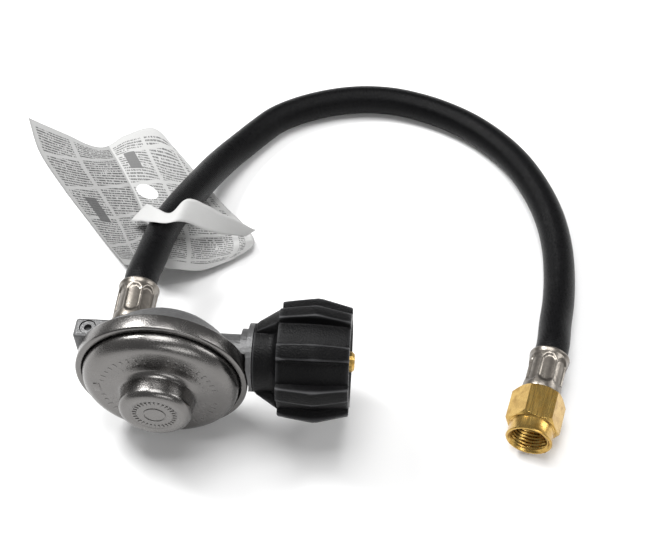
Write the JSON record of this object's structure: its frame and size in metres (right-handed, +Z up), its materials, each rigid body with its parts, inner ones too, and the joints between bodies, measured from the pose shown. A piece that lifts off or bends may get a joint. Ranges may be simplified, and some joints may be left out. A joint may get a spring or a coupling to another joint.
{
  "type": "propane regulator hose",
  "caption": "Low-pressure gas regulator with a hand-tightened inlet nut, a black rubber hose crimped at both ends, a brass flare swivel nut and a folded paper tag.",
  "frame": {"origin": "on the floor under the middle of the box round the regulator and its inlet nut, the hose and what is on it left out", "axes": "+X roughly along the inlet towards the handwheel's open end, -Y the way the bonnet faces, +Z up"},
  "size_m": [0.2732, 0.2192, 0.0697],
  "materials": {
    "zinc": "as cast and stamped, satin",
    "crimped_steel": "drawn, satin",
    "spring_steel": "drawn",
    "brass": "turned",
    "black_plastic": "fine moulded grain",
    "black_rubber": "satin with a fine cloth impression",
    "green_plastic": "moulded",
    "paper": "printed, uncoated"
  },
  "bodies": {
    "regulator": {"body_casting": "zinc", "rim_ring": "zinc", "bonnet": "zinc", "adjuster_plug": "zinc", "diaphragm": "black_rubber", "main_spring": "spring_steel", "lever_pin": "crimped_steel", "inlet_orifice": "brass", "port_plug": "crimped_steel", "inlet_nipple": "brass", "nose_seal": "black_rubber", "poppet_spring": "spring_steel", "outlet_stem": "brass", "regulator_ferrule": "crimped_steel", "hose": "black_rubber", "nut_ferrule": "crimped_steel", "flare_stem": "brass", "tag_sheet": "paper", "tag_band": "paper"},
    "diaphragm_stack": {"diaphragm_plate": "crimped_steel", "diaphragm_washer": "crimped_steel", "diaphragm_stem": "brass"},
    "lever": {"lever": "crimped_steel"},
    "seat": {"seat_rod": "brass", "seat_disc": "black_rubber"},
    "bushing": {"handwheel_bushing": "green_plastic"},
    "handwheel": {"handwheel": "black_plastic"},
    "poppet": {"check_poppet": "brass"},
    "flare_nut": {"flare_nut": "brass"}
  },
  "joints": [
    {"name": "handwheel_float", "type": "slide", "parent": "regulator", "child": "bushing", "axis": [0.9974, -0.0697, 0.0175], "range_m": [0, 0.002]},
    {"name": "handwheel_spin", "type": "hinge", "parent": "bushing", "child": "handwheel", "pos_m": [0.01592, -0.00449, 0.0358], "axis": [0.9974, -0.0697, 0.0175], "continuous": true},
    {"name": "diaphragm_travel", "type": "slide", "parent": "regulator", "child": "diaphragm_stack", "axis": [-0.0701, -0.9973, 0.0209], "range_m": [0, 0.0012], "stiffness_N_per_m": 900, "springref_m": -0.006, "deforming": ["main_spring", "diaphragm"]},
    {"name": "lever_swing", "type": "hinge", "parent": "regulator", "child": "lever", "pos_m": [-0.03112, -0.00501, 0.03506], "axis": [-0.0159, 0.0221, 0.9996], "range_deg": [-7, 0]},
    {"name": "seat_slide", "type": "slide", "parent": "regulator", "child": "seat", "axis": [0.9974, -0.0697, 0.0175], "range_m": [0, 0.00046]},
    {"name": "poppet_slide", "type": "slide", "parent": "regulator", "child": "poppet", "axis": [-0.9974, 0.0697, -0.0175], "range_m": [0, 0.002], "stiffness_N_per_m": 150, "springref_m": -0.002, "deforming": ["poppet_spring"]},
    {"name": "nut_swivel", "type": "hinge", "parent": "regulator", "child": "flare_nut", "pos_m": [0.1279, -0.0293, 0.0111], "axis": [-0.3173, -0.9483, 0], "continuous": true}
  ],
  "couplings": [
    {"joint": "lever_swing", "follows": "diaphragm_travel", "rad_per_m": -100},
    {"joint": "seat_slide", "follows": "diaphragm_travel", "ratio": 0.38}
  ]
}
